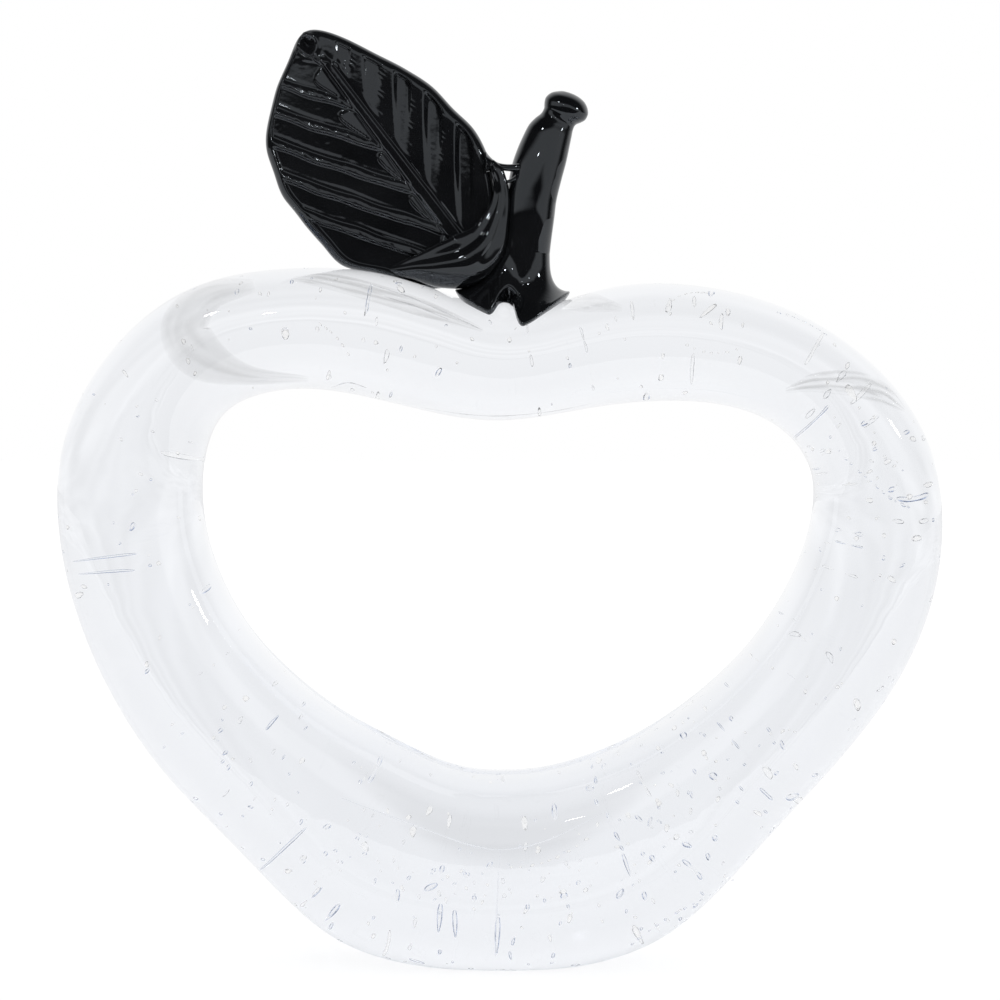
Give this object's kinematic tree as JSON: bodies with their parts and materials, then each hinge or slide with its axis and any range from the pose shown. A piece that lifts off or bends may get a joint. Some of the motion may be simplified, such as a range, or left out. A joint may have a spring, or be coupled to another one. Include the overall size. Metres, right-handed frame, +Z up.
{
  "type": "glass apple sculpture",
  "caption": "Free-standing sculpture of an apple: an open loop of clear seeded glass on a ground flat, with a black glass stem and a pressed leaf fused to the dip in its crown.",
  "frame": {"origin": "on the surface that it stands on, under the middle of the object's bounding box", "axes": "+Z up, -Y out of the front face, +X to the right as seen from the front"},
  "size_m": [0.2163, 0.052, 0.2284],
  "materials": {
    "clear_glass": "fire-polished clear glass with seed bubbles",
    "black_glass_stem": "fire-polished black glass",
    "black_glass_leaf": "pressed and fire-polished black glass"
  },
  "bodies": {
    "root": {"apple_loop": "clear_glass", "stem": "black_glass_stem", "leaf": "black_glass_leaf", "leaf_collar": "black_glass_leaf", "leaf_bridge": "black_glass_leaf"}
  },
  "joints": []
}
